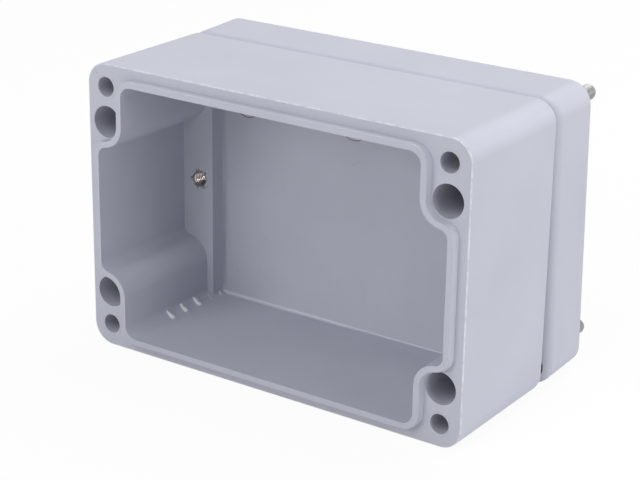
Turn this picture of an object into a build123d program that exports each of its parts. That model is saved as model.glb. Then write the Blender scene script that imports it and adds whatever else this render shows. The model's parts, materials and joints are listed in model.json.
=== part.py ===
"""Small moulded electronics enclosure, shown open.

The base stands on its long lower side with its mouth to the front. The lid has been taken off and
stands behind it, outer face to the base, leaning on the base's back. Its four captive screws stick
out of its mating side, away from the base.

Frame: X is the width, Y runs from the mouth (-Y) to the lid (+Y) and Z is up. The origin is the
centre of the base's lower side. Millimetres.
"""
import os
from math import atan2, cos, degrees, radians, sin, sqrt, tan

from build123d import *

os.makedirs("parts", exist_ok=True)

# Outside of the closed box, and how the lid stands
box_width = 110.0
box_height = 75.0
base_depth = 39.0
lid_depth = 17.0
corner_r = 5.6
back_edge_r = 1.0
rim_edge = 0.3
face_edge_r = 3.0
lid_lean = 2.4
lean_gap = 0.02

# Walls, ledges and floor of the base, and the taper that lets the moulding leave its tool
side_wall = 4.4
long_wall = 4.35
floor_t = 2.4
ledge_t = 7.5
ledge_reach = 9.85
ledge_corner_r = 1.5
inner_draft = 0.6
floor_foot = 0.9
opening_corner_r = 3.0
pillar_foot_r = 2.5

# Tongue round the mouth, and the groove and gasket in the lid
tongue_height = 2.0
tongue_t = 1.5
tongue_flare = 0.35
groove_clearance = 0.35
groove_lip_t = 1.2
gasket_height = 1.8
gasket_squeeze = 0.2
gasket_fit = 0.05
lid_face_t = 3.0

# Mounting wells, for the screws that fix the box to a wall
well_inset_x = 5.8
well_inset_z = 14.85
well_r = 4.08
well_wall = 2.05
well_seat_t = 4.5
wall_hole_r = 2.4

# Lid screw holes in the base, with their moulded-in blind threaded inserts
screw_inset_x = 5.75
screw_inset_z = 5.85
screw_hole_r = 2.5
insert_r = 3.0
insert_bore_r = 1.65
insert_length = 6.5
insert_end_t = 0.8
insert_fit = 0.02
release_play = 0.2

# Threaded inserts in the middle of the two ledges, with a thin skin of the moulding over each
ledge_insert_inset = 9.85
ledge_insert_length = 5.5
ledge_skin = 0.3
ledge_mouth_r = 2.15

# Small gussets in the long corners
gusset_first = 14.0
gusset_pitch = 5.5
gusset_count = 4
gusset_t = 1.2
gusset_reach = 3.4
gusset_rise = 1.9
gusset_root = 0.5
ledge_gusset_set_back = 2.4
ledge_gusset_reach = 1.6
ledge_gusset_rise = 1.3

# Captive lid screws and their retaining washers
thread_r = 2.0
screw_length = 20.0
head_r = 3.5
head_height = 2.6
head_edge = 0.5
head_seat = 7.5
head_play = 0.7
shank_play = 0.25
tip_chamfer = 0.6
recess_length = 4.2
recess_width = 1.0
recess_depth = 1.7
washer_r = 3.2
washer_t = 1.0
washer_play = 0.3
washer_fit = 0.03
captive_travel = 4.2
seat_play = 0.05

# How near two points are when they count as one, where an edge is looked up by its place
same_place = 0.001

# Sizes that follow from those above
well_x = box_width / 2 - well_inset_x
well_z = box_height / 2 - well_inset_z
screw_x = box_width / 2 - screw_inset_x
screw_z = box_height / 2 - screw_inset_z
ledge_insert_x = box_width / 2 - ledge_insert_inset
opening_half_x = box_width / 2 - side_wall
opening_half_z = box_height / 2 - long_wall
pillar_half_x = well_x - well_r - well_wall
ledge_half_x = opening_half_x - ledge_reach
ledge_depth = base_depth - ledge_t
floor_depth = base_depth - floor_t
groove_depth = tongue_height + gasket_height - gasket_squeeze
hollow_shrink = groove_clearance + groove_lip_t
screw_reach = head_seat + screw_length - lid_depth
insert_depth = screw_reach - captive_travel + release_play

# The mouth of the base: local x is the width, local y is up and local z points out of the box
mouth = Plane(
    origin=(0, -base_depth / 2, box_height / 2),
    x_dir=(1, 0, 0),
    z_dir=(0, -1, 0),
)

# The lid leans until its outer face touches the base's back and its lower front edge the ground.
# Both touch on the rounded edge, so the centre of that round places the lid's lower front corner.
lean_cos = cos(radians(lid_lean))
lean_sin = sin(radians(lid_lean))
lid_foot_y = (
    base_depth / 2
    + lean_gap
    + face_edge_r * (1 - lean_cos)
    + (box_height - face_edge_r) * lean_sin
)
lid_foot_z = face_edge_r * (1 - lean_sin - lean_cos)

# The mating side of the lid, seen from behind: local x is against the width, local y is up and
# local z points out of the lid
lid_mouth = Plane(
    origin=(
        0,
        lid_foot_y + lid_depth * lean_cos - box_height / 2 * lean_sin,
        lid_foot_z + lid_depth * lean_sin + box_height / 2 * lean_cos,
    ),
    x_dir=(-1, 0, 0),
    z_dir=(0, lean_cos, lean_sin),
)

# A cylinder with this alignment hangs down from its place
hanging = (Align.CENTER, Align.CENTER, Align.MAX)


def taper(depth):
    """How far a drafted wall has come in at a depth."""
    return depth * tan(radians(inner_draft))


def seat(plane, x, z, depth=0.0):
    """The given plane moved to a hole's axis and set in by a depth."""
    return Plane(
        origin=plane.from_local_coords((x, z, -depth)),
        x_dir=plane.x_dir,
        z_dir=plane.z_dir,
    )


def four_seats(plane, x, z, depth=0.0):
    """The seats of a hole pattern that lies alike in all four corners."""
    return [seat(plane, i * x, j * z, depth) for i in (-1, 1) for j in (-1, 1)]


def edges_at(part, plane, depth):
    """The edges of a part that lie in the given plane, set in by a depth."""
    level = plane.offset(-depth)

    def lies_level(edge):
        points = (edge @ 0, edge @ 0.5, edge @ 1)
        return all(abs(level.to_local_coords(point).Z) < same_place for point in points)

    return part.edges().filter_by(lies_level)


def opening_outline(grow=0.0):
    """The outline of the mouth, moved outwards by grow.

    The long walls and the side walls are straight. Each corner holds a pillar for the holes: its
    side turns round the mounting well and runs out into the side wall with a hollow foot.
    """
    wall_x = opening_half_x + grow
    wall_z = opening_half_z + grow
    side_x = pillar_half_x + grow
    corner = opening_corner_r + grow
    well_bend_r = well_x - side_x
    foot_bend_r = pillar_foot_r + grow
    foot_x = wall_x - foot_bend_r
    foot_z = well_z - sqrt((well_bend_r + foot_bend_r) ** 2 - (foot_x - well_x) ** 2)
    bend = degrees(atan2(well_z - foot_z, well_x - foot_x))
    with BuildSketch(mode=Mode.PRIVATE) as outline:
        with BuildLine():
            Line((0, wall_z), (side_x - corner, wall_z))
            CenterArc((side_x - corner, wall_z - corner), corner, 90, -90)
            Line((side_x, wall_z - corner), (side_x, well_z))
            CenterArc((well_x, well_z), well_bend_r, 180, bend)
            CenterArc((foot_x, foot_z), foot_bend_r, bend, -bend)
            Line((wall_x, foot_z), (wall_x, 0))
            mirror(about=Plane.YZ)
            mirror(about=Plane.XZ)
        make_face()
    return outline.sketch


def gusset_outline(side_x, wall_z, reach, rise):
    """A low wedge in each corner, from the side at side_x down to the long wall at wall_z."""
    with BuildSketch(mode=Mode.PRIVATE) as outline:
        Polygon(
            (side_x + gusset_root, wall_z - rise),
            (side_x + gusset_root, wall_z + gusset_root),
            (side_x - reach, wall_z + gusset_root),
            (side_x - reach, wall_z),
            (side_x, wall_z - rise),
            align=None,
        )
        mirror(about=Plane.YZ)
        mirror(about=Plane.XZ)
    return outline.sketch


# Base
with BuildPart() as base:
    with BuildSketch(mouth):
        RectangleRounded(box_width, box_height, corner_r)
    extrude(amount=-base_depth)
    fillet(edges_at(base, mouth, base_depth), back_edge_r)
    chamfer(edges_at(base, mouth, 0), rim_edge)

    # Tongue, wider at its root than at its top
    with BuildSketch(mouth):
        add(opening_outline(tongue_t + tongue_flare))
    with BuildSketch(mouth.offset(tongue_height)):
        add(opening_outline(tongue_t))
    loft(ruled=True)

    # The inside, with its corner pillars, down to the ledges
    with BuildSketch(mouth.offset(tongue_height)):
        add(opening_outline())
    with BuildSketch(mouth.offset(-ledge_depth)):
        add(opening_outline(-taper(ledge_depth)))
    loft(ruled=True, mode=Mode.SUBTRACT)

    # Between the ledges, down to the floor
    for depth in (ledge_depth, floor_depth):
        with BuildSketch(mouth.offset(-depth)):
            RectangleRounded(
                2 * (ledge_half_x - taper(depth - ledge_depth)),
                2 * (opening_half_z - taper(depth)),
                ledge_corner_r,
            )
    loft(ruled=True, mode=Mode.SUBTRACT)
    chamfer(edges_at(base, mouth, floor_depth), floor_foot)

    # Gussets along the four long corners, and one more behind each end of the ledges
    for i in range(gusset_count):
        depth = gusset_first + i * gusset_pitch
        with BuildSketch(mouth.offset(-depth)):
            add(
                gusset_outline(
                    pillar_half_x - taper(depth),
                    opening_half_z - taper(depth),
                    gusset_reach,
                    gusset_rise,
                )
            )
        extrude(amount=-gusset_t)
    with BuildSketch(mouth.offset(-ledge_depth - ledge_gusset_set_back)):
        add(
            gusset_outline(
                ledge_half_x - taper(ledge_gusset_set_back),
                opening_half_z - taper(ledge_depth),
                ledge_gusset_reach,
                ledge_gusset_rise,
            )
        )
    extrude(amount=-gusset_t)

    # Wells for the wall screws, through to the back
    with Locations(*four_seats(mouth, well_x, well_z)):
        CounterBoreHole(wall_hole_r, well_r, base_depth - well_seat_t)

    # Lid screw holes, each with a pocket for its insert
    with Locations(*four_seats(mouth, screw_x, screw_z)):
        Hole(screw_hole_r, insert_depth)
    with Locations(*four_seats(mouth, screw_x, screw_z, insert_depth)):
        Cylinder(
            insert_r + insert_fit,
            insert_length + insert_fit,
            align=hanging,
            mode=Mode.SUBTRACT,
        )

    # Insert pockets in the ledges, each under a thin skin with a round mouth
    for side in (-1, 1):
        with Locations(seat(mouth, side * ledge_insert_x, 0, ledge_depth)):
            Hole(ledge_mouth_r, ledge_skin)
        with Locations(seat(mouth, side * ledge_insert_x, 0, ledge_depth + ledge_skin)):
            Cylinder(
                insert_r + insert_fit,
                ledge_insert_length + insert_fit,
                align=hanging,
                mode=Mode.SUBTRACT,
            )
base.part.label = "base"
export_step(base.part, "parts/base.step")

# Lid
with BuildPart() as lid:
    with BuildSketch(lid_mouth):
        RectangleRounded(box_width, box_height, corner_r)
    extrude(amount=-lid_depth)
    fillet(edges_at(lid, lid_mouth, lid_depth), face_edge_r)
    chamfer(edges_at(lid, lid_mouth, 0), rim_edge)

    # Hollow inside, which follows the pillars of the base
    hollow_depth = lid_depth - lid_face_t
    with BuildSketch(lid_mouth):
        add(opening_outline(-hollow_shrink))
    with BuildSketch(lid_mouth.offset(-hollow_depth)):
        add(opening_outline(-hollow_shrink - taper(hollow_depth)))
    loft(ruled=True, mode=Mode.SUBTRACT)

    # Groove for the gasket and the tongue
    with BuildSketch(lid_mouth):
        add(opening_outline(tongue_t + tongue_flare + groove_clearance))
        add(opening_outline(-groove_clearance), mode=Mode.SUBTRACT)
    extrude(amount=-groove_depth, mode=Mode.SUBTRACT)

    # Screw holes: washer bore from the mating side, head recess from outside
    with Locations(*four_seats(lid_mouth, screw_x, screw_z)):
        CounterBoreHole(
            thread_r + shank_play,
            washer_r + washer_play,
            washer_t + captive_travel + seat_play,
        )
    recess_floor = lid_depth - head_seat - seat_play
    with Locations(*four_seats(lid_mouth, screw_x, screw_z, recess_floor)):
        Cylinder(head_r + head_play, lid_depth - recess_floor, align=hanging, mode=Mode.SUBTRACT)
lid.part.label = "lid"
export_step(lid.part, "parts/lid.step")

# Gasket, laid into the bottom of the groove
with BuildPart() as gasket:
    with BuildSketch(lid_mouth.offset(-groove_depth)):
        add(opening_outline(tongue_t + tongue_flare + groove_clearance - gasket_fit))
        add(opening_outline(gasket_fit - groove_clearance), mode=Mode.SUBTRACT)
    extrude(amount=gasket_height)
gasket.part.label = "gasket"
export_step(gasket.part, "parts/gasket.step")

# Corners as seen from the front: the base's local x is the width, and the lid's is against it
corners = {
    "upper_left": (-1, 1),
    "upper_right": (1, 1),
    "lower_left": (-1, -1),
    "lower_right": (1, -1),
}

for corner_name, (across, up) in corners.items():
    # Captive screw, from its head's seat to its tip, with a cross recess in the head
    shank = seat(lid_mouth, -across * screw_x, up * screw_z, lid_depth - head_seat)
    with BuildPart() as lid_screw:
        with BuildSketch(shank):
            Circle(thread_r)
        extrude(amount=screw_length)
        chamfer(edges_at(lid_screw, shank, -screw_length), tip_chamfer)
        with BuildSketch(shank):
            Circle(head_r)
        extrude(amount=-head_height)
        chamfer(edges_at(lid_screw, shank, head_height), head_edge)
        with BuildSketch(shank.offset(-head_height)):
            Rectangle(recess_length, recess_width)
            Rectangle(recess_width, recess_length)
        extrude(amount=recess_depth, mode=Mode.SUBTRACT)
    lid_screw.part.label = f"lid_screw_{corner_name}"
    export_step(lid_screw.part, f"parts/lid_screw_{corner_name}.step")

    # Retaining washer on the screw, flush with the mating side
    with BuildPart() as washer:
        with BuildSketch(seat(lid_mouth, -across * screw_x, up * screw_z)):
            Circle(washer_r)
            Circle(thread_r + washer_fit, mode=Mode.SUBTRACT)
        extrude(amount=-washer_t)
    washer.part.label = f"retaining_washer_{corner_name}"
    export_step(washer.part, f"parts/retaining_washer_{corner_name}.step")

    # Threaded insert for the screw, moulded into the base's pillar
    with BuildPart() as lid_insert:
        with Locations(seat(mouth, across * screw_x, up * screw_z, insert_depth)):
            Cylinder(insert_r, insert_length, align=hanging)
            Hole(insert_bore_r, insert_length - insert_end_t)
    lid_insert.part.label = f"lid_insert_{corner_name}"
    export_step(lid_insert.part, f"parts/lid_insert_{corner_name}.step")

# Threaded inserts of the ledges, for a mounting plate or a rail
for side_name, side in (("left", -1), ("right", 1)):
    with BuildPart() as ledge_insert:
        with Locations(seat(mouth, side * ledge_insert_x, 0, ledge_depth + ledge_skin)):
            Cylinder(insert_r, ledge_insert_length, align=hanging)
            Hole(insert_bore_r, ledge_insert_length - insert_end_t)
    ledge_insert.part.label = f"ledge_insert_{side_name}"
    export_step(ledge_insert.part, f"parts/ledge_insert_{side_name}.step")
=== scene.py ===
"""Looks of a small moulded electronics enclosure: open base in front, lid leaning behind it.

Everything is in metres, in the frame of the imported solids: X is the width, -Y is the open side of
the base and +Z is up. The lid's mating side, with its screw tips, faces away from the base.
"""

import json
from collections import namedtuple
from math import cos, pi, radians, sin, sqrt

import bmesh
import bpy
import numpy as np
from mathutils import Matrix, Vector


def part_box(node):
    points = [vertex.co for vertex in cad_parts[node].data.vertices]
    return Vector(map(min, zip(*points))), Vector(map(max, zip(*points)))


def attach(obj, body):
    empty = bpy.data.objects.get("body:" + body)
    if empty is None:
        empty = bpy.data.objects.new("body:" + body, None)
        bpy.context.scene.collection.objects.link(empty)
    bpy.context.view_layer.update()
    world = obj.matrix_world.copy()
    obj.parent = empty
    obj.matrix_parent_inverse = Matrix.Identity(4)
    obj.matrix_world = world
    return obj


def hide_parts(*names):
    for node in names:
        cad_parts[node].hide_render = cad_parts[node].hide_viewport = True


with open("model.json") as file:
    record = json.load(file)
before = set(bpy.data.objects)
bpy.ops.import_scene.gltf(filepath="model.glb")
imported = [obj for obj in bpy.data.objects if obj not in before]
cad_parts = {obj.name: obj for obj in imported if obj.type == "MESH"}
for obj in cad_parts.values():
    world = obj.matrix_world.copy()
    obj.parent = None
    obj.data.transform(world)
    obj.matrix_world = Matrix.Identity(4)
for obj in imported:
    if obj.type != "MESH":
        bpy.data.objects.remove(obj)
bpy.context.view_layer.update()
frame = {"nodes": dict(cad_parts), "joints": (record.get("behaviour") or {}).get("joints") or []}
mm = 0.001

# Camera of the photograph, as fitted to the box's corners and holes
photo_width_px = 640
focal_px = 1864.5
camera_yaw = radians(34.345)
camera_pitch = radians(20.608)
camera_roll = radians(0.884)
camera_place = Vector((244.25, -354.65, 196.06)) * mm
sensor_width_mm = 36.0
near_clip = 0.01
far_clip = 20.0

# Lid screws: coarse metric thread, cylinder head with a cross recess
screw_thread_r = 2.0 * mm
screw_root_r = 1.57 * mm
thread_pitch = 0.7 * mm
thread_play = 0.02 * mm
screw_head_r = 3.5 * mm
screw_head_height = 2.6 * mm
screw_face_share = 0.72
screw_edge_r = 0.45 * mm
seat_chamfer = 0.1 * mm
neck_fillet = 0.15 * mm
neck_relief = 0.03 * mm
screw_plain_length = 2.0 * mm
screw_tip_chamfer = 0.6 * mm
recess_half_length = 2.1 * mm
recess_half_width = 0.5 * mm
recess_depth = 1.7 * mm
recess_taper = 0.72
recess_lip = 0.05 * mm

# Threaded inserts: knurled outside with a plain waist, blind thread inside
insert_r = 3.0 * mm
insert_bore_r = 1.65 * mm
insert_thread_r = 1.98 * mm
insert_end_t = 0.8 * mm
insert_edge = 0.4 * mm
insert_knurl_depth = 0.16 * mm
insert_knurl_count = 24
insert_waist = (0.42, 0.58)
insert_waist_flank = 0.3 * mm
insert_mouth_chamfer = 0.3 * mm
insert_mouth_step = 0.02 * mm

# Retaining washers
washer_r = 3.2 * mm
washer_bore_r = 2.03 * mm
washer_edge_r = 0.2 * mm

# How finely the curved surfaces are divided
turned_steps = 96
rings_per_pitch = 10
head_edge_steps = 5
washer_steps = 72
washer_edge_steps = 4
arc_steps = 13
gasket_steps = 28

# The ring inside an end face, as a share of its radius, and the least sine to divide by
end_ring_share = 0.5
least_sine = 1e-6

# Round marks on the moulding: ejector pins on the floor, rings and ragged skin at the holes
ejector_r = 4.3 * mm
ejector_across = 33.0 * mm
ejector_up = 22.3 * mm
witness_r = 2.9 * mm
ledge_mouth_r = 2.15 * mm
ledge_skin = 0.3 * mm
mark_reach = 0.4 * mm
ragged_scale = 1100.0

# Their kinds: half the ring's width, the swing of its line, its rise, its strength and its colour
Mark = namedtuple("Mark", "width wander rise shade color")
skin_mark = Mark(0.42 * mm, 4.0 * mm, 0.0, 0.9, (0.07, 0.065, 0.06))
witness_mark = Mark(0.11 * mm, 0.16 * mm, 0.09 * mm, 0.5, (0.75, 0.75, 0.8))
# The ejector marks' dark rings are partly the marks' own colour and partly painted shade at their rims
faint_ejector_mark = Mark(0.26 * mm, 0.6 * mm, -0.012 * mm, 0.05, (0.12, 0.09, 0.10))
clear_ejector_mark = Mark(0.26 * mm, 0.6 * mm, -0.05 * mm, 0.85, (0.12, 0.09, 0.10))

# The base's middle, floor and rim, and depths below the rim
tongue_height = 2.0 * mm
floor_t = 2.4 * mm
base_low, base_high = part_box("base")
middle_z = (base_low.z + base_high.z) / 2
floor_y = base_high.y - floor_t
rim_y = base_low.y + tongue_height
rim_edge = 0.3 * mm
gusset_depths = (14.0 * mm, 19.5 * mm, 25.0 * mm, 33.9 * mm)
gusset_pitch = 5.5 * mm
gusset_t = 1.2 * mm
gusset_width = 5.0 * mm
same_depth = 0.05 * mm

# Least part of its normal along Y, or along Z, that a gusset's face has
facing_mouth = 0.9
facing_up = 0.8

# Where the gussets' painted highlight lies: from their end on the pillar, given from the box's middle
gusset_end_x = 42.7 * mm
gusset_end_z = 31.23 * mm
gusset_slope = radians(29.1)
highlight_length = 2.6 * mm
highlight_depth = 0.65 * mm
highlight_fade = 0.5 * mm

# The painted highlight in the corner between the floor and the long walls, partly a polish line
foot_half_z = 32.78 * mm
foot_reach = 1.0 * mm
foot_line_half = 0.42 * mm
foot_line_shade = 0.85
foot_highlight_color = (0.70, 0.71, 0.77)

# The outline that the mouth, the tongue and the gasket follow, from the box's middle
wall_half_x = 50.6 * mm
wall_half_z = 33.15 * mm
pillar_half_x = 43.07 * mm
pillar_corner_r = 3.0 * mm
pillar_foot_r = 2.5 * mm
well_x = 49.2 * mm
well_z = 22.65 * mm

# Section of the gasket: how far it reaches inside and outside that outline, and its roundness
gasket_inside = 0.3 * mm
gasket_outside = 2.15 * mm
gasket_roundness = 0.55

# Names of the places that repeat, and the way in which the base's inserts open
corner_names = ("upper_left", "upper_right", "lower_left", "lower_right")
ledge_names = ("left", "right")
towards_mouth = np.array((0.0, -1.0, 0.0))

# Colours, roughness and grain of the moulding
moulding_dark = (0.42, 0.43, 0.50)
moulding_pale = (0.50, 0.51, 0.58)
moulding_speck = (0.30, 0.30, 0.35)
moulding_roughness = 0.5
moulding_rough_clouds = 0.16
grain_scale = 2600.0
grain_height = 0.012 * mm
cloud_scale = 38.0
speck_scale = 520.0
speck_size = 0.10
speck_share = 0.2

# Painted highlight on gussets' fronts; rim's outer edge patchy, partly wear, partly painted highlight
gusset_highlight_color = (0.93, 0.93, 0.95)
# The rim edge's two tones: partly wear and partly painted highlight
edge_dark = (0.50, 0.51, 0.57)
edge_pale = (0.64, 0.65, 0.70)
patch_scale = 600.0
patch_roughness = 0.4
patch_low = 0.35
patch_high = 0.60

# Metals, nylon and rubber: their two tones, roughness and grain, and the painted shade in metal threads
steel_dull = (0.30, 0.30, 0.29)
steel_bright = (0.54, 0.54, 0.53)
steel_roughness = 0.38
brass_dull = (0.40, 0.36, 0.33)
brass_bright = (0.72, 0.67, 0.64)
brass_roughness = 0.2
metal_grain_scale = 3800.0
metal_grain_height = 0.012 * mm
# Painted shade in the threads' grooves: its colour, where along a groove it starts, and its strength
groove_shade_color = (0.035, 0.032, 0.030)
groove_shade_start = 0.2
groove_shade_strength = 0.9
nylon_dark = (0.62, 0.60, 0.54)
nylon_pale = (0.78, 0.77, 0.72)
nylon_roughness = 0.45
nylon_grain_height = 0.01 * mm
rubber_dark = (0.028, 0.028, 0.030)
rubber_pale = (0.05, 0.05, 0.052)
rubber_roughness = 0.62
rubber_grain_height = 0.02 * mm

# Studio: floor, light from all round, and soft square lamps with their place, size and power
floor_half = 3.0
floor_color = (0.8, 0.8, 0.8)
floor_whiteness = 0.94
ambient_color = (0.93, 0.95, 1.0)
ambient_strength = 0.26
white = (1.0, 1.0, 1.0)
lamp_target = (0, 0, 0.04)
lamps = {
    "top_front_soft_box": ((-0.05, -0.5, 0.8), 0.5, 1.95),
    "top_rear_soft_box": ((0.1, 0.4, 0.8), 0.5, 4.5),
    "front_left_soft_box": ((-0.4, -0.85, 0.3), 0.4, 1.75),
    "front_soft_box": ((-0.06, -0.8, 0.55), 0.4, 1.05),
    "right_soft_box": ((0.9, 0.0, 0.25), 0.5, 3.85),
    "rear_soft_box": ((0.15, 1.0, 0.12), 0.2, 2.5),
    "small_front_lamp": ((0.12, -0.85, 0.25), 0.07, 0.4),
}

# Shading
smooth_angle = radians(32)
merge_distance = 0.0005 * mm


def node_points(name):
    """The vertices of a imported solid, in metres."""
    mesh = frame["nodes"][name].data
    points = np.empty(len(mesh.vertices) * 3)
    mesh.vertices.foreach_get("co", points)
    return points.reshape(-1, 3)


def joint_place(name):
    """Where a turning joint lies and which way its axis points."""
    found = next(joint for joint in frame["joints"] if joint["name"] == name)
    return np.array(found["pos_m"]), np.array(found["axis"])


def across_and_up(out):
    """The two directions square to an axis that itself is square to X: X, and out x X."""
    across = np.array((1.0, 0.0, 0.0))
    return across, np.cross(out, across)


def add_object(name, data):
    """A new object in the scene, at the origin."""
    made = bpy.data.objects.new(name, data)
    bpy.context.scene.collection.objects.link(made)
    return made


def finish_mesh(piece, body, replaced, material):
    """Shades a mesh smooth up to an angle, gives it its material and hands the piece to the frame."""
    mesh = piece.data
    mesh.shade_smooth()
    mesh.set_sharp_from_angle(angle=smooth_angle)
    mesh.materials.clear()
    mesh.materials.append(material)
    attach(piece, body)
    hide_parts(replaced)
    return piece


def turn_outwards(mesh):
    """Makes the faces of a closed mesh point outwards, by the sign of the volume they enclose."""
    mesh.update()
    work = bmesh.new()
    work.from_mesh(mesh)
    bmesh.ops.recalc_face_normals(work, faces=work.faces)
    if work.calc_volume(signed=True) < 0:
        bmesh.ops.reverse_faces(work, faces=work.faces)
    work.to_mesh(mesh)
    work.free()


def turned_points(radius, angle, height, place, out):
    """Points about an axis: place + radius * (cos(angle) * side + sin(angle) * up) + height * out."""
    side, up = across_and_up(out)
    across = (radius * np.cos(angle))[..., None] * side
    upward = (radius * np.sin(angle))[..., None] * up
    return place + across + upward + height[..., None] * out


class Turning:
    """A closed turned piece under construction: rings about an axis, from one end to the other."""

    def __init__(self, place, out):
        self.place = place
        self.out = out
        self.angle = np.linspace(0, 2 * pi, turned_steps, endpoint=False)
        self.rings = []

    def ring(self, radius, height, groove=0.0):
        """Adds a ring. The radius and the groove are one number, or one for each step round it."""
        full = np.ones(turned_steps)
        self.rings.append(np.stack([radius * full, height * full, groove * full]))

    def piece(self, name):
        """The surface through the rings, whose first and last close in a fan to their own middle.

        The groove, from 0 on a thread's crest to 1 at its root, becomes an attribute that the
        metal's painted shade follows.
        """
        radius, height, groove = np.array(self.rings).transpose(1, 0, 2)
        grid = turned_points(radius, self.angle, height, self.place, self.out)
        ends = np.stack([grid[0].mean(0), grid[-1].mean(0)])
        points = np.vstack([grid.reshape(-1, 3), ends])
        step = np.arange(turned_steps)
        after = (step + 1) % turned_steps
        row = np.arange(len(grid) - 1)[:, None] * turned_steps
        next_row = row + turned_steps
        quads = np.stack([row + step, row + after, next_row + after, next_row + step], -1)
        last_row = (len(grid) - 1) * turned_steps
        start_middle = np.full(turned_steps, len(points) - 2)
        end_middle = np.full(turned_steps, len(points) - 1)
        start_fan = np.stack([start_middle, after, step], -1)
        end_fan = np.stack([end_middle, last_row + step, last_row + after], -1)
        faces = quads.reshape(-1, 4).tolist() + start_fan.tolist() + end_fan.tolist()
        mesh = bpy.data.meshes.new(name)
        mesh.from_pydata(points.tolist(), [], faces)
        turn_outwards(mesh)
        attribute = mesh.attributes.new("groove", "FLOAT", "POINT")
        attribute.data.foreach_set("value", np.append(groove.ravel(), (0.0, 0.0)))
        return add_object(name, mesh)


def thread_radius(angle, height, root, crest):
    """Radius of a thread, from its root to its crest by a wave of equal flats and slopes.

    The phase is height / pitch - angle / turn, and the wave is 1.5 - 4 * |phase - 1/2|, held
    between 0 and 1.
    """
    phase = (height / thread_pitch - angle / (2 * pi)) % 1.0
    wave = np.clip(1.5 - 4.0 * np.abs(phase - 0.5), 0.0, 1.0)
    return root + (crest - root) * wave


def cross_outline(angle, half_length, half_width):
    """Radius of a plus sign: half_length / cos at an arm's end, and half_width / sin beside it."""
    folded = np.abs((angle + pi / 4) % (pi / 2) - pi / 4)
    end = half_length / np.cos(folded)
    beside = half_width / np.maximum(np.sin(folded), least_sine)
    return np.minimum(end, beside)


def lid_screw(corner, material):
    """Captive screw, as rings about its axis: a head with a cross recess, and a helical thread."""
    name = f"lid_screw_{corner}"
    place, out = joint_place(f"screw_{corner}_turn")
    along = (node_points(name) - place) @ out
    tip, head_top = along.max(), along.min()
    seat = head_top + screw_head_height
    screw = Turning(place, out)

    # Head, from the bottom of its recess out over the rim to the seat
    floor = head_top + recess_depth
    outline = cross_outline(screw.angle, recess_half_length, recess_half_width)
    screw.ring(outline * recess_taper * end_ring_share, floor)
    screw.ring(outline * recess_taper, floor)
    screw.ring(outline, head_top + recess_lip)
    screw.ring(outline + recess_lip, head_top)
    screw.ring(np.maximum(outline, screw_head_r * screw_face_share), head_top)
    for turn in np.linspace(0, pi / 2, head_edge_steps):
        screw.ring(
            screw_head_r - screw_edge_r * (1 - sin(turn)),
            head_top + screw_edge_r * (1 - cos(turn)),
        )
    screw.ring(screw_head_r, seat - seat_chamfer)
    screw.ring(screw_head_r - seat_chamfer, seat)
    screw.ring(screw_thread_r + neck_fillet, seat)
    screw.ring(screw_thread_r - neck_relief, seat + neck_fillet)

    # Shank: a plain neck, then the thread, then the chamfered tip
    thread_start = seat + screw_plain_length
    crest = screw_thread_r - thread_play
    for height in np.arange(thread_start, tip, thread_pitch / rings_per_pitch):
        run_in = np.clip((height - thread_start) / thread_pitch, 0, 1)
        root = crest + (screw_root_r - crest) * run_in
        left = max(tip - height, 0)
        cap = screw_thread_r - np.clip(screw_tip_chamfer - left, 0, None)
        radius = np.minimum(thread_radius(screw.angle, height, root, crest), cap)
        screw.ring(radius, height, (crest - radius) / (crest - screw_root_r))
    tip_r = screw_thread_r - screw_tip_chamfer
    screw.ring(tip_r, tip)
    screw.ring(tip_r * end_ring_share, tip)
    return finish_mesh(screw.piece(name), f"screw_{corner}", name, material)


def threaded_insert(name, out, material):
    """Moulded-in insert: a sleeve knurled by a cosine of the angle, and a threaded blind bore."""
    points = node_points(name)
    middle = (points.max(0) + points.min(0)) / 2
    along = (points - middle) @ out
    bottom, top = along.min(), along.max()
    insert = Turning(middle, out)

    # Sleeve: two knurled bands with a plain waist between them
    wave = 0.5 + 0.5 * np.cos(insert_knurl_count * insert.angle)
    knurl = insert_r - insert_knurl_depth * wave
    plain = insert_r - insert_edge
    waist_bottom, waist_top = (bottom + share * (top - bottom) for share in insert_waist)
    insert.ring(plain * end_ring_share, bottom)
    insert.ring(plain, bottom)
    insert.ring(knurl, bottom + insert_edge)
    insert.ring(knurl, waist_bottom)
    insert.ring(plain, waist_bottom + insert_waist_flank)
    insert.ring(plain, waist_top - insert_waist_flank)
    insert.ring(knurl, waist_top)
    insert.ring(knurl, top - insert_edge)
    insert.ring(plain, top)

    # Bore, from its chamfered mouth to its floor
    insert.ring(insert_bore_r + insert_mouth_chamfer, top)
    floor = bottom + insert_end_t
    groove_depth = insert_thread_r - insert_bore_r
    for height in np.arange(top - insert_mouth_step, floor, -thread_pitch / rings_per_pitch):
        mouth = insert_bore_r + np.clip(insert_mouth_chamfer - (top - height), 0, None)
        thread = thread_radius(insert.angle, height, insert_bore_r, insert_thread_r)
        radius = np.maximum(thread, mouth)
        insert.ring(radius, height, (radius - insert_bore_r) / groove_depth)
    insert.ring(insert_bore_r, floor)
    insert.ring(insert_bore_r * end_ring_share, floor)
    piece = insert.piece(name + "_threaded")
    return finish_mesh(piece, "enclosure", name, material)


def wrapped_piece(name, grid):
    """A closed ring-shaped solid from a grid of points (section, path, 3) that wraps both ways."""
    rows, steps = grid.shape[:2]
    row = np.arange(rows)[:, None] * steps
    step = np.arange(steps)
    next_row = (row + steps) % (rows * steps)
    after = (step + 1) % steps
    faces = np.stack([row + step, row + after, next_row + after, next_row + step], -1)
    mesh = bpy.data.meshes.new(name)
    mesh.from_pydata(grid.reshape(-1, 3).tolist(), [], faces.reshape(-1, 4).tolist())
    turn_outwards(mesh)
    return add_object(name, mesh)


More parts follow.
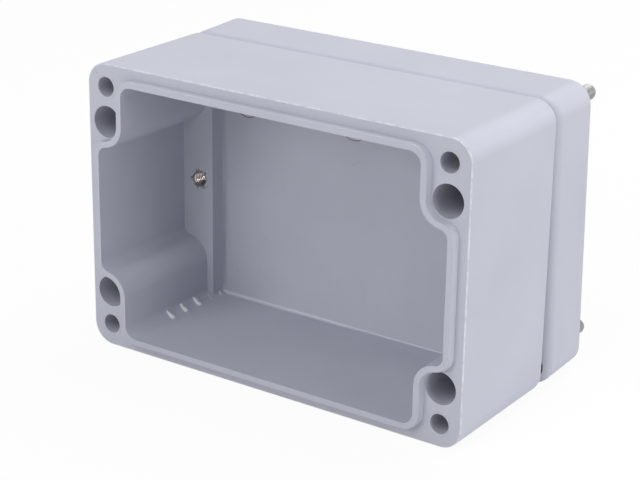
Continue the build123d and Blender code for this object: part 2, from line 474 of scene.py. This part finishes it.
def retaining_washer(corner, material):
    """Flat ring with rounded edges: a rounded rectangle turned about the screw's axis.

    Each corner of the rectangle is a quarter turn: its middle plus washer_edge_r * (cos, sin).
    """
    name = f"retaining_washer_{corner}"
    place, out = joint_place(f"screw_{corner}_turn")
    along = (node_points(name) - place) @ out
    low, high = along.min(), along.max()
    flat_r = (washer_r - washer_bore_r) / 2 - washer_edge_r
    flat_h = (high - low) / 2 - washer_edge_r
    outwards = np.array((1, -1, -1, 1))[:, None]
    upwards = np.array((1, 1, -1, -1))[:, None]
    turn = np.arange(4)[:, None] * pi / 2 + np.linspace(0, pi / 2, washer_edge_steps)
    section_r = (outwards * flat_r + washer_edge_r * np.cos(turn)).reshape(-1, 1)
    section_h = (upwards * flat_h + washer_edge_r * np.sin(turn)).reshape(-1, 1)
    angle = np.linspace(0, 2 * pi, washer_steps, endpoint=False)
    radius = (washer_r + washer_bore_r) / 2 + section_r * np.ones(washer_steps)
    height = (low + high) / 2 + section_h * np.ones(washer_steps)
    piece = wrapped_piece(name + "_turned", turned_points(radius, angle, height, place, out))
    return finish_mesh(piece, f"washer_{corner}", name, material)


def mouth_path():
    """The closed outline of the mouth: its points and the directions that lead out of it.

    A quarter runs from the middle of the long wall over the pillar's corner, down the pillar's
    side, round the well, and by a hollow foot into the side wall. An arc's points are its middle
    plus radius * (cos, sin). The other quarters are mirrored.
    """
    bend_r = well_x - pillar_half_x
    foot_x = wall_half_x - pillar_foot_r
    foot_z = well_z - sqrt((bend_r + pillar_foot_r) ** 2 - (foot_x - well_x) ** 2)
    bend = np.arctan2(well_z - foot_z, well_x - foot_x)
    corner = (pillar_half_x - pillar_corner_r, wall_half_z - pillar_corner_r)
    arcs = [
        (corner, pillar_corner_r, pi / 2, 0.0, 1.0),
        ((well_x, well_z), bend_r, pi, pi + bend, -1.0),
        ((foot_x, foot_z), pillar_foot_r, bend, 0.0, 1.0),
    ]
    points = [np.array([(0.0, wall_half_z)])]
    outwards = [np.array([(0.0, 1.0)])]
    for middle, radius, start, end, sense in arcs:
        turn = np.linspace(start, end, arc_steps)
        direction = np.stack([np.cos(turn), np.sin(turn)], -1)
        points.append(np.array(middle) + radius * direction)
        outwards.append(sense * direction)
    quarter = np.hstack([np.vstack(points), np.vstack(outwards)])
    right = np.vstack([quarter, (quarter * (1, -1, 1, -1))[::-1]])
    left = (right[1:-1] * (-1, 1, -1, 1))[::-1]
    path = np.vstack([right, left])
    return path[:, :2], path[:, 2:]


def gasket_ring(material):
    """The gasket: a rounded section carried round the outline of the mouth, in the lid's frame.

    The section is a superellipse: its two half axes times the cosine and the sine of a turn, each
    to the power gasket_roundness, so that its sides stay nearly upright and its top is domed.
    """
    middle = np.mean([joint_place(f"screw_{corner}_turn")[0] for corner in corner_names], 0)
    out = joint_place("screw_upper_left_turn")[1]
    across, up = across_and_up(out)
    along = (node_points("gasket") - middle) @ out
    low, high = along.min(), along.max()
    turn = np.linspace(0, 2 * pi, gasket_steps, endpoint=False)
    wide = np.sign(np.cos(turn)) * np.abs(np.cos(turn)) ** gasket_roundness
    tall = np.sign(np.sin(turn)) * np.abs(np.sin(turn)) ** gasket_roundness
    side = (gasket_outside - gasket_inside) / 2 + wide * (gasket_outside + gasket_inside) / 2
    height = (low + high) / 2 + tall * (high - low) / 2
    points, outwards = mouth_path()
    flat = points[None] + side[:, None, None] * outwards[None]
    grid = middle + flat[..., :1] * across + flat[..., 1:] * up + height[:, None, None] * out
    piece = wrapped_piece("gasket_cord", grid)
    return finish_mesh(piece, "enclosure", "gasket", material)


def smooth_shell(node, name, material):
    """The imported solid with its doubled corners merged, its rounds shaded smooth and its flats flat."""
    source = frame["nodes"][node].data
    corners = np.empty(len(source.loops), int)
    source.loops.foreach_get("vertex_index", corners)
    mesh = bpy.data.meshes.new(name)
    mesh.from_pydata(node_points(node).tolist(), [], corners.reshape(-1, 3).tolist())
    work = bmesh.new()
    work.from_mesh(mesh)
    bmesh.ops.remove_doubles(work, verts=work.verts, dist=merge_distance)
    work.to_mesh(mesh)
    work.free()
    piece = finish_mesh(add_object(name, mesh), "enclosure", node, material)
    weighted = piece.modifiers.new("weighted_normals", "WEIGHTED_NORMAL")
    weighted.keep_sharp = True
    return piece


def assign_painted_faces(piece, gusset_highlight_finish, edge_wear_highlight_finish):
    """Gives the gussets and the rim's broken outer edge their own finishes, with painted highlights.

    A small face belongs to a gusset if it starts at the gusset's front, ends before its back, and
    faces the mouth or mostly up or down. A face belongs to the rim's edge if its corners lie
    between the rim and the depth of that edge.
    """
    mesh = piece.data
    corners = np.empty(len(mesh.loops), int)
    mesh.loops.foreach_get("vertex_index", corners)
    places = np.empty(len(mesh.vertices) * 3)
    mesh.vertices.foreach_get("co", places)
    normal = np.empty(len(mesh.polygons) * 3)
    mesh.polygons.foreach_get("normal", normal)
    normal = np.abs(normal.reshape(-1, 3))
    corner = places.reshape(-1, 3)[corners].reshape(-1, 3, 3)
    depth = corner[..., 1] - rim_y
    shallow, deep = depth.min(1), depth.max(1)
    start = np.array(gusset_depths)[None]
    starts = np.abs(shallow[:, None] - start) < same_depth
    ends = deep[:, None] < start + gusset_t + same_depth
    small = (np.ptp(corner[..., 0], 1) < gusset_width) & (np.ptp(corner[..., 2], 1) < gusset_width)
    faces_out = (normal[:, 1] > facing_mouth) | (normal[:, 2] > facing_up)
    gussets = (starts & ends).any(1) & small & faces_out
    edge = (shallow > -same_depth) & (deep < rim_edge + same_depth) & (deep > shallow + same_depth)
    mesh.materials.append(gusset_highlight_finish)
    mesh.materials.append(edge_wear_highlight_finish)
    mesh.polygons.foreach_set("material_index", gussets + 2 * edge)


class Tree:
    """A node tree under construction, with short calls for its nodes and links."""

    def __init__(self, tree):
        self.tree = tree

    def add(self, kind, **settings):
        """A new node, with its own settings and with values or sources for its input sockets.

        An input socket is given by its name, with underscores for the spaces in it.
        """
        node = self.tree.nodes.new(kind)
        for name, value in settings.items():
            if hasattr(node, name):
                setattr(node, name, value)
            else:
                self.feed(node.inputs[name.replace("_", " ")], value)
        return node

    def feed(self, socket, value):
        """Gives an input socket a number, a colour, or a link from another node's output socket."""
        if isinstance(value, bpy.types.NodeSocket):
            self.tree.links.new(value, socket)
        elif socket.type == "RGBA":
            socket.default_value = (*value, 1.0)
        else:
            socket.default_value = value

    def maths(self, operation, *values):
        """A Math node whose inputs are numbers or sockets, and its output."""
        node = self.add("ShaderNodeMath", operation=operation)
        for socket, value in zip(node.inputs, values):
            self.feed(socket, value)
        return node.outputs[0]

    def split(self, vector):
        """The X, Y and Z of a vector's socket."""
        return self.add("ShaderNodeSeparateXYZ", Vector=vector).outputs[:3]

    def mix_colors(self, amount, under, over):
        """The colour between two colours or sockets, by a socket from 0 for under to 1 for over."""
        mix = self.add("ShaderNodeMix", data_type="RGBA")
        sockets = {socket.identifier: socket for socket in mix.inputs}
        self.feed(sockets["Factor_Float"], amount)
        self.feed(sockets["A_Color"], under)
        self.feed(sockets["B_Color"], over)
        return next(socket for socket in mix.outputs if socket.identifier == "Result_Color")

    def fade_out(self, value, start, end, strength=1.0):
        """A mask by a socket: strength up to start, 0 from end on, and a smooth step between."""
        step = self.add(
            "ShaderNodeMapRange",
            interpolation_type="SMOOTHSTEP",
            Value=value,
            From_Min=start,
            From_Max=end,
            To_Min=strength,
            To_Max=0.0,
        )
        return step.outputs["Result"]


def empty_tree(block):
    """The node tree of a material or a world, emptied, as a Tree."""
    block.use_nodes = True
    block.node_tree.nodes.clear()
    return Tree(block.node_tree)


def new_group(name, inputs, outputs):
    """An empty shader node group with named sockets, as a Tree with its inputs and results."""
    tree = bpy.data.node_groups.new(name, "ShaderNodeTree")
    for label, kind in inputs:
        tree.interface.new_socket(name=label, in_out="INPUT", socket_type=kind)
    for label, kind in outputs:
        tree.interface.new_socket(name=label, in_out="OUTPUT", socket_type=kind)
    made = Tree(tree)
    made.given = tree.nodes.new("NodeGroupInput").outputs
    made.result = tree.nodes.new("NodeGroupOutput").inputs
    return made


def round_mark_group():
    """A ring-shaped mask about an axis along Y: 1 on the ring, 0 away from it, with a ragged line.

    Mask = 1 - smoothstep(|distance in XZ - radius| / width), where it lies less than reach along Y.
    """
    made = new_group(
        "round_mark",
        [
            ("Vector", "NodeSocketVector"),
            ("Centre", "NodeSocketVector"),
            ("Radius", "NodeSocketFloat"),
            ("Width", "NodeSocketFloat"),
            ("Ragged", "NodeSocketFloat"),
            ("Ragged Scale", "NodeSocketFloat"),
            ("Reach", "NodeSocketFloat"),
        ],
        [("Mask", "NodeSocketFloat")],
    )
    given = made.given
    offset = made.add("ShaderNodeVectorMath", operation="SUBTRACT")
    made.feed(offset.inputs[0], given["Vector"])
    made.feed(offset.inputs[1], given["Centre"])
    x, y, z = made.split(offset.outputs[0])
    square = made.maths("ADD", made.maths("MULTIPLY", x, x), made.maths("MULTIPLY", z, z))
    distance = made.maths("SQRT", square)
    noise = made.add(
        "ShaderNodeTexNoise", Vector=given["Vector"], Scale=given["Ragged Scale"], Detail=3.0
    )
    wander = made.maths("SUBTRACT", noise.outputs["Fac"], 0.5)
    shifted = made.maths("ADD", distance, made.maths("MULTIPLY", wander, given["Ragged"]))
    away = made.maths("ABSOLUTE", made.maths("SUBTRACT", shifted, given["Radius"]))
    ring = made.fade_out(made.maths("DIVIDE", away, given["Width"]), 0.0, 1.0)
    near = made.maths("LESS_THAN", made.maths("ABSOLUTE", y), given["Reach"])
    made.feed(made.result["Mask"], made.maths("MULTIPLY", ring, near))
    return made.tree


def grain_group():
    """Fine grain of a surface: noise as a height, sparse specks as a mask, and slow clouds.

    A cell has a speck if its random value is over 1 - speck_share, and a larger one the more it is
    over.
    """
    made = new_group(
        "surface_grain",
        [
            ("Vector", "NodeSocketVector"),
            ("Grain Scale", "NodeSocketFloat"),
            ("Speck Scale", "NodeSocketFloat"),
            ("Speck Size", "NodeSocketFloat"),
        ],
        [
            ("Height", "NodeSocketFloat"),
            ("Specks", "NodeSocketFloat"),
            ("Clouds", "NodeSocketFloat"),
        ],
    )
    given, result = made.given, made.result
    fine = made.add(
        "ShaderNodeTexNoise",
        Vector=given["Vector"],
        Scale=given["Grain Scale"],
        Detail=4.0,
        Roughness=0.6,
    )
    made.feed(result["Height"], fine.outputs["Fac"])
    cells = made.add("ShaderNodeTexVoronoi", Vector=given["Vector"], Scale=given["Speck Scale"])
    random = made.add("ShaderNodeSeparateColor", Color=cells.outputs["Color"]).outputs["Red"]
    chosen = made.maths("MULTIPLY_ADD", random, 1 / speck_share, 1 - 1 / speck_share)
    size = made.maths("MULTIPLY", given["Speck Size"], chosen)
    made.feed(result["Specks"], made.maths("LESS_THAN", cells.outputs["Distance"], size))
    slow = made.add(
        "ShaderNodeTexNoise", Vector=given["Vector"], Scale=cloud_scale, Detail=3.0, Roughness=0.55
    )
    made.feed(result["Clouds"], slow.outputs["Fac"])
    return made.tree


def new_material(name, **finish):
    """A material with its Principled shader, as a Tree with the shader's inputs and coordinates."""
    material = bpy.data.materials.new(name)
    made = empty_tree(material)
    shader = made.add("ShaderNodeBsdfPrincipled", **finish)
    made.add("ShaderNodeOutputMaterial", Surface=shader.outputs[0])
    made.material = material
    made.shader = shader.inputs
    made.place = made.add("ShaderNodeTexCoord").outputs["Object"]
    return made


def finish_surface(made, color, height):
    """Gives a material its colour socket and a relief by its height socket, in metres."""
    bump = made.add("ShaderNodeBump", Strength=1.0, Distance=1.0, Height=height)
    made.feed(made.shader["Base Color"], color)
    made.feed(made.shader["Normal"], bump.outputs["Normal"])
    return made.material


def foot_highlight_mask(made):
    """Painted highlight: 1 on a thin line in the floor's corner with the long walls, 0 elsewhere.

    Across the corner v = (y - floor) - (|z - middle| - foot_half_z), which is 0 on the line that
    halves the corner. Mask = shade * (1 - smoothstep(|v + noise| / foot_line_half)), up to
    foot_reach in front of the floor and between the pillars' sides.
    """
    x, y, z = made.split(made.place)
    up = made.maths("ABSOLUTE", made.maths("SUBTRACT", z, middle_z))
    outwards = made.maths("SUBTRACT", up, foot_half_z)
    inwards = made.maths("SUBTRACT", y, floor_y)
    noise = made.add("ShaderNodeTexNoise", Vector=made.place, Scale=patch_scale, Detail=3.0)
    wander = made.maths("MULTIPLY_ADD", noise.outputs["Fac"], foot_line_half, -foot_line_half / 2)
    across = made.maths("ADD", made.maths("SUBTRACT", inwards, outwards), wander)
    line = made.fade_out(made.maths("ABSOLUTE", across), 0.0, foot_line_half, foot_line_shade)
    from_corner = made.maths("ABSOLUTE", made.maths("ADD", inwards, foot_reach / 2))
    near = made.maths("LESS_THAN", from_corner, foot_reach / 2 + same_depth)
    between = made.maths("LESS_THAN", made.maths("ABSOLUTE", x), pillar_half_x)
    return made.maths("MULTIPLY", line, made.maths("MULTIPLY", near, between))


def gusset_highlight_mask(made):
    """Painted highlight: 1 along the gussets' front, near their end on the pillar, 0 elsewhere.

    Along a gusset u = cos(slope) * (end_x - |x|) + sin(slope) * (|z - middle| - end_z), faded out
    past highlight_length. Into a gusset the depth repeats by the pitch.
    The last one is painted all over.
    """
    x, y, z = made.split(made.place)
    side = made.maths("SUBTRACT", gusset_end_x, made.maths("ABSOLUTE", x))
    up = made.maths("ABSOLUTE", made.maths("SUBTRACT", z, middle_z))
    down = made.maths("SUBTRACT", up, gusset_end_z)
    along = made.maths(
        "ADD",
        made.maths("MULTIPLY", side, cos(gusset_slope)),
        made.maths("MULTIPLY", down, sin(gusset_slope)),
    )
    noise = made.add("ShaderNodeTexNoise", Vector=made.place, Scale=ragged_scale, Detail=2.0)
    ragged = made.maths("MULTIPLY_ADD", noise.outputs["Fac"], 2 * highlight_fade, -highlight_fade)
    highlit_along = made.fade_out(made.maths("ADD", along, ragged), highlight_length, highlight_length + highlight_fade)
    depth = made.maths("SUBTRACT", y, rim_y + gusset_depths[0] - same_depth)
    into = made.maths("MODULO", depth, gusset_pitch)
    front = made.maths("LESS_THAN", made.maths("ADD", into, ragged), highlight_depth)
    last = made.maths("GREATER_THAN", y, rim_y + gusset_depths[-1] - same_depth)
    return made.maths("MULTIPLY", highlit_along, made.maths("MAXIMUM", front, last))


def moulding_material(name, marks=(), masks=()):
    """Silver-grey moulding: clouded colour, dark specks, fine grain and round marks.

    marks is a list of (centre, radius, kind): each a ring on a face across Y, raised and painted as
    its kind says, in part as painted shade. masks is a list of (function, color): the function makes
    the mask where that color is laid on, as a painted highlight.
    """
    made = new_material(name)
    fine = made.add(
        "ShaderNodeGroup",
        node_tree=surface_grain,
        Vector=made.place,
        Grain_Scale=grain_scale,
        Speck_Scale=speck_scale,
        Speck_Size=speck_size,
    ).outputs
    color = made.mix_colors(fine["Clouds"], moulding_dark, moulding_pale)
    color = made.mix_colors(fine["Specks"], color, moulding_speck)
    for make_mask, paint in masks:
        color = made.mix_colors(make_mask(made), color, paint)
    height = made.maths("MULTIPLY", fine["Height"], grain_height)
    for centre, radius, kind in marks:
        ring = made.add(
            "ShaderNodeGroup",
            node_tree=round_mark,
            Vector=made.place,
            Centre=centre,
            Radius=radius,
            Width=kind.width,
            Ragged=kind.wander,
            Ragged_Scale=ragged_scale,
            Reach=mark_reach,
        ).outputs["Mask"]
        height = made.maths("ADD", height, made.maths("MULTIPLY", ring, kind.rise))
        color = made.mix_colors(made.maths("MULTIPLY", ring, kind.shade), color, kind.color)
    rough = made.maths("MULTIPLY_ADD", fine["Clouds"], moulding_rough_clouds, moulding_roughness)
    made.feed(made.shader["Roughness"], rough)
    return finish_surface(made, color, height)


def patched_material(name, dark, pale):
    """Moulding in patches between two tones of a coarse noise: wear and painted highlight."""
    made = new_material(name, Roughness=patch_roughness)
    patches = made.add(
        "ShaderNodeTexNoise", Vector=made.place, Scale=patch_scale, Detail=3.0, Roughness=0.6
    )
    spread = made.add(
        "ShaderNodeMapRange", Value=patches.outputs["Fac"], From_Min=patch_low, From_Max=patch_high
    )
    color = made.mix_colors(spread.outputs["Result"], dark, pale)
    made.feed(made.shader["Base Color"], color)
    return made.material


def metal_material(name, dull, bright, roughness):
    """Worn metal: fine grain shifts its tone between two colours; painted shade in the grooves."""
    made = new_material(name, Roughness=roughness, Metallic=1.0)
    fine = made.add(
        "ShaderNodeGroup", node_tree=surface_grain, Vector=made.place, Grain_Scale=metal_grain_scale
    ).outputs
    color = made.mix_colors(fine["Height"], dull, bright)
    # Painted shade towards the root of a thread's grooves
    groove = made.add("ShaderNodeAttribute", attribute_name="groove")
    deep = made.add(
        "ShaderNodeMapRange",
        Value=groove.outputs["Fac"],
        From_Min=groove_shade_start,
        To_Max=groove_shade_strength,
    )
    color = made.mix_colors(deep.outputs["Result"], color, groove_shade_color)
    height = made.maths("MULTIPLY", fine["Height"], metal_grain_height)
    return finish_surface(made, color, height)


def soft_material(name, dark, pale, roughness, grain_rise):
    """Rubber or nylon: nearly even colour with a little cloud and a fine dull grain."""
    made = new_material(name, Roughness=roughness)
    fine = made.add(
        "ShaderNodeGroup", node_tree=surface_grain, Vector=made.place, Grain_Scale=grain_scale
    ).outputs
    color = made.mix_colors(fine["Clouds"], dark, pale)
    return finish_surface(made, color, made.maths("MULTIPLY", fine["Height"], grain_rise))


def base_marks():
    """The round marks of the base: ragged skin at the ledge inserts, witness rings, ejector pins."""
    marks = []
    for side_name in ledge_names:
        low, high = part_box(f"ledge_insert_{side_name}")
        mouth = ((low.x + high.x) / 2, low.y - ledge_skin, (low.z + high.z) / 2)
        marks.append((mouth, ledge_mouth_r, skin_mark))
    for corner in corner_names:
        low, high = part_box(f"lid_insert_{corner}")
        mouth = ((low.x + high.x) / 2, rim_y, (low.z + high.z) / 2)
        marks.append((mouth, witness_r, witness_mark))
    # Ejector marks: dark rings partly their own colour and partly painted shade at their rims
    for across in (-ejector_across, 0.0, ejector_across):
        marks.append(((across, floor_y, middle_z - ejector_up), ejector_r, faint_ejector_mark))
        marks.append(((across, floor_y, middle_z + ejector_up), ejector_r, clear_ejector_mark))
    return marks


def add_camera():
    """The photograph's pinhole camera. With roll 0 its axes are right, up and backwards."""
    flat = cos(camera_pitch)
    ahead = Vector((-sin(camera_yaw) * flat, cos(camera_yaw) * flat, -sin(camera_pitch)))
    level = Vector((cos(camera_yaw), sin(camera_yaw), 0.0))
    upright = level.cross(ahead)
    right = level * cos(camera_roll) + upright * sin(camera_roll)
    up = upright * cos(camera_roll) - level * sin(camera_roll)
    camera = add_object("camera", bpy.data.cameras.new("camera"))
    camera.data.sensor_width = sensor_width_mm
    camera.data.lens = focal_px / photo_width_px * sensor_width_mm
    camera.data.clip_start = near_clip
    camera.data.clip_end = far_clip
    turned = Matrix((right, up, -ahead)).transposed().to_4x4()
    camera.matrix_world = Matrix.Translation(camera_place) @ turned
    bpy.context.scene.camera = camera


def add_lamp(name, place, size, power):
    """A soft square lamp that faces the lamps' target."""
    lamp = add_object(name, bpy.data.lights.new(name, "AREA"))
    lamp.data.energy = power
    lamp.data.size = size
    lamp.location = Vector(place)
    ahead = Vector(lamp_target) - Vector(place)
    lamp.rotation_euler = ahead.to_track_quat("-Z", "Y").to_euler()


def show_white(made, lit, seen, share, output_kind):
    """Ends a tree with the shader lit, and with the shader seen laid over it by a share.

    The share counts for rays from the camera, from gloss and through glass, and else is 0.
    """
    path = made.add("ShaderNodeLightPath").outputs
    rays = made.maths("ADD", path["Is Camera Ray"], path["Is Glossy Ray"])
    rays = made.maths("ADD", rays, path["Is Transmission Ray"])
    mix = made.add("ShaderNodeMixShader")
    made.feed(mix.inputs[0], made.maths("MULTIPLY", made.maths("MINIMUM", rays, 1.0), share))
    made.feed(mix.inputs[1], lit.outputs[0])
    made.feed(mix.inputs[2], seen.outputs[0])
    made.add(output_kind, Surface=mix.outputs[0])


def add_floor():
    """A plain pale floor that the camera sees nearly white, with a trace of the object's shadow."""
    mesh = bpy.data.meshes.new("floor")
    signs = ((-1, -1), (1, -1), (1, 1), (-1, 1))
    mesh.from_pydata([(x * floor_half, y * floor_half, 0) for x, y in signs], [], [(0, 1, 2, 3)])
    floor = add_object("floor", mesh)
    material = bpy.data.materials.new("floor")
    made = empty_tree(material)
    paper = made.add("ShaderNodeBsdfDiffuse", Color=floor_color)
    glow = made.add("ShaderNodeEmission", Color=white)
    show_white(made, paper, glow, floor_whiteness, "ShaderNodeOutputMaterial")
    mesh.materials.append(material)


def add_world():
    """Even studio light from all round, seen as plain white."""
    world = bpy.data.worlds.new("studio")
    made = empty_tree(world)
    ambient = made.add("ShaderNodeBackground", Color=ambient_color, Strength=ambient_strength)
    backdrop = made.add("ShaderNodeBackground", Color=white, Strength=1.0)
    show_white(made, ambient, backdrop, 1.0, "ShaderNodeOutputWorld")
    bpy.context.scene.world = world


surface_grain = grain_group()
round_mark = round_mark_group()

# The base, with its round marks and the painted highlight in the floor's corners
moulding_base = moulding_material(
    "moulding_base", base_marks(), [(foot_highlight_mask, foot_highlight_color)]
)
moulding_lid = moulding_material("moulding_lid")
# The gussets, with a painted highlight along their front
moulding_gusset_highlight = moulding_material("moulding_gusset_highlight", masks=[(gusset_highlight_mask, gusset_highlight_color)])
# The rim's outer edge, paler in patches: partly wear and partly a painted highlight
moulding_edge_wear_highlight = patched_material("moulding_edge_wear_highlight", edge_dark, edge_pale)
steel = metal_material("screw_steel", steel_dull, steel_bright, steel_roughness)
brass = metal_material("insert_brass", brass_dull, brass_bright, brass_roughness)
nylon = soft_material("nylon", nylon_dark, nylon_pale, nylon_roughness, nylon_grain_height)
rubber = soft_material(
    "gasket_rubber", rubber_dark, rubber_pale, rubber_roughness, rubber_grain_height
)

base_shell = smooth_shell("base", "base_shell", moulding_base)
# The gussets and the rim's outer edge get their finishes with painted highlights
assign_painted_faces(base_shell, moulding_gusset_highlight, moulding_edge_wear_highlight)
smooth_shell("lid", "lid_shell", moulding_lid)
gasket_ring(rubber)
for corner in corner_names:
    lid_screw(corner, steel)
    retaining_washer(corner, nylon)
    threaded_insert(f"lid_insert_{corner}", towards_mouth, brass)
for side_name in ledge_names:
    threaded_insert(f"ledge_insert_{side_name}", towards_mouth, brass)

add_camera()
add_floor()
add_world()
for name, (place, size, power) in lamps.items():
    add_lamp(name, place, size, power)
bpy.context.scene.view_settings.view_transform = "Standard"
